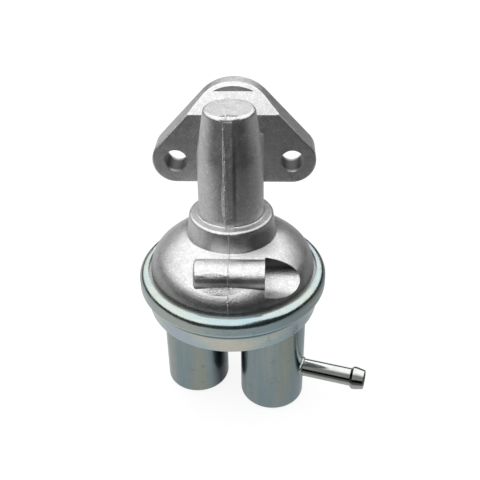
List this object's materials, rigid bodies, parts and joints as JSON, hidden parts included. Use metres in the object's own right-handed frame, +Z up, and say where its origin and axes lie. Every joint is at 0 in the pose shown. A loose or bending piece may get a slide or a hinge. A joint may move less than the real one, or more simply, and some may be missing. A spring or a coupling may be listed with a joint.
{
  "type": "mechanical fuel pump",
  "caption": "Lever-driven diaphragm fuel pump: cast body with a two-bolt flange and a spring tower, over a crimped steel bowl with two fuel cups and a return nipple.",
  "frame": {"origin": "midway between the two bolt holes, on the mounting face", "axes": "+Y is the mounting face's outward normal, towards the engine; X runs through both bolt holes, with the return nipple on the +X side; +Z runs up along the diaphragm's axis, from the cups to the tower"},
  "size_m": [0.0999, 0.1194, 0.14],
  "materials": {
    "cast_aluminium": "shot-blasted as-cast grey, fine grain, satin",
    "plated_steel": "bright zinc plate with a clear blue passivate",
    "bright_steel": "bright plated, polished",
    "forged_steel": "oiled, hardened steel",
    "spring_steel": "drawn wire",
    "plain_steel": "stamped",
    "bronze": "machined",
    "brass": "machined",
    "seal_rubber": "matt",
    "diaphragm_fabric": "rubbered cloth, matt",
    "gasket_fibre": "vulcanised fibre"
  },
  "bodies": {
    "body": {"body_casting": "cast_aluminium", "pivot_pin": "forged_steel", "arm_return_spring": "spring_steel", "rod_seal": "seal_rubber", "seal_retainer": "plain_steel", "diaphragm_spring": "spring_steel", "diaphragm": "diaphragm_fabric", "lower_cover": "plated_steel", "inlet_cup": "plated_steel", "outlet_cup": "plated_steel", "return_nipple": "bright_steel", "inlet_port": "plated_steel", "inlet_valve_seat": "brass", "inlet_valve_gasket": "gasket_fibre", "inlet_valve_spring": "spring_steel", "inlet_valve_stem": "brass", "outlet_port": "plated_steel", "outlet_valve_seat": "brass", "outlet_valve_gasket": "gasket_fibre", "outlet_valve_spring": "spring_steel", "outlet_valve_stem": "brass"},
    "arm": {"rocker_arm": "forged_steel", "arm_bushing": "bronze"},
    "diaphragm_stack": {"pull_rod": "forged_steel", "upper_plate": "plated_steel", "lower_plate": "plated_steel", "rivet_washer": "plain_steel"},
    "inlet_disc": {"inlet_valve_disc": "seal_rubber"},
    "outlet_disc": {"outlet_valve_disc": "seal_rubber"}
  },
  "joints": [
    {"name": "arm_pivot", "type": "hinge", "parent": "body", "child": "arm", "pos_m": [0, -0.0183, 0], "axis": [-1, 0, 0], "range_deg": [0, 10], "stiffness_Nm_per_rad": 1.9, "springref_deg": -21.77, "deforming": ["arm_return_spring"]},
    {"name": "diaphragm_lift", "type": "slide", "parent": "body", "child": "diaphragm_stack", "axis": [0, 0, 1], "range_m": [0, 0.0035], "stiffness_N_per_m": 200, "springref_m": -0.012, "deforming": ["diaphragm_spring", "diaphragm"]},
    {"name": "inlet_valve_lift", "type": "slide", "parent": "body", "child": "inlet_disc", "axis": [0, 0, 1], "range_m": [0, 0.0012], "stiffness_N_per_m": 20, "springref_m": -0.002, "deforming": ["inlet_valve_spring"]},
    {"name": "outlet_valve_lift", "type": "slide", "parent": "body", "child": "outlet_disc", "axis": [0, 0, -1], "range_m": [0, 0.0012], "stiffness_N_per_m": 20, "springref_m": -0.002, "deforming": ["outlet_valve_spring"]}
  ],
  "couplings": [
    {"joint": "diaphragm_lift", "follows": "arm_pivot", "m_per_rad": 0.019975}
  ]
}
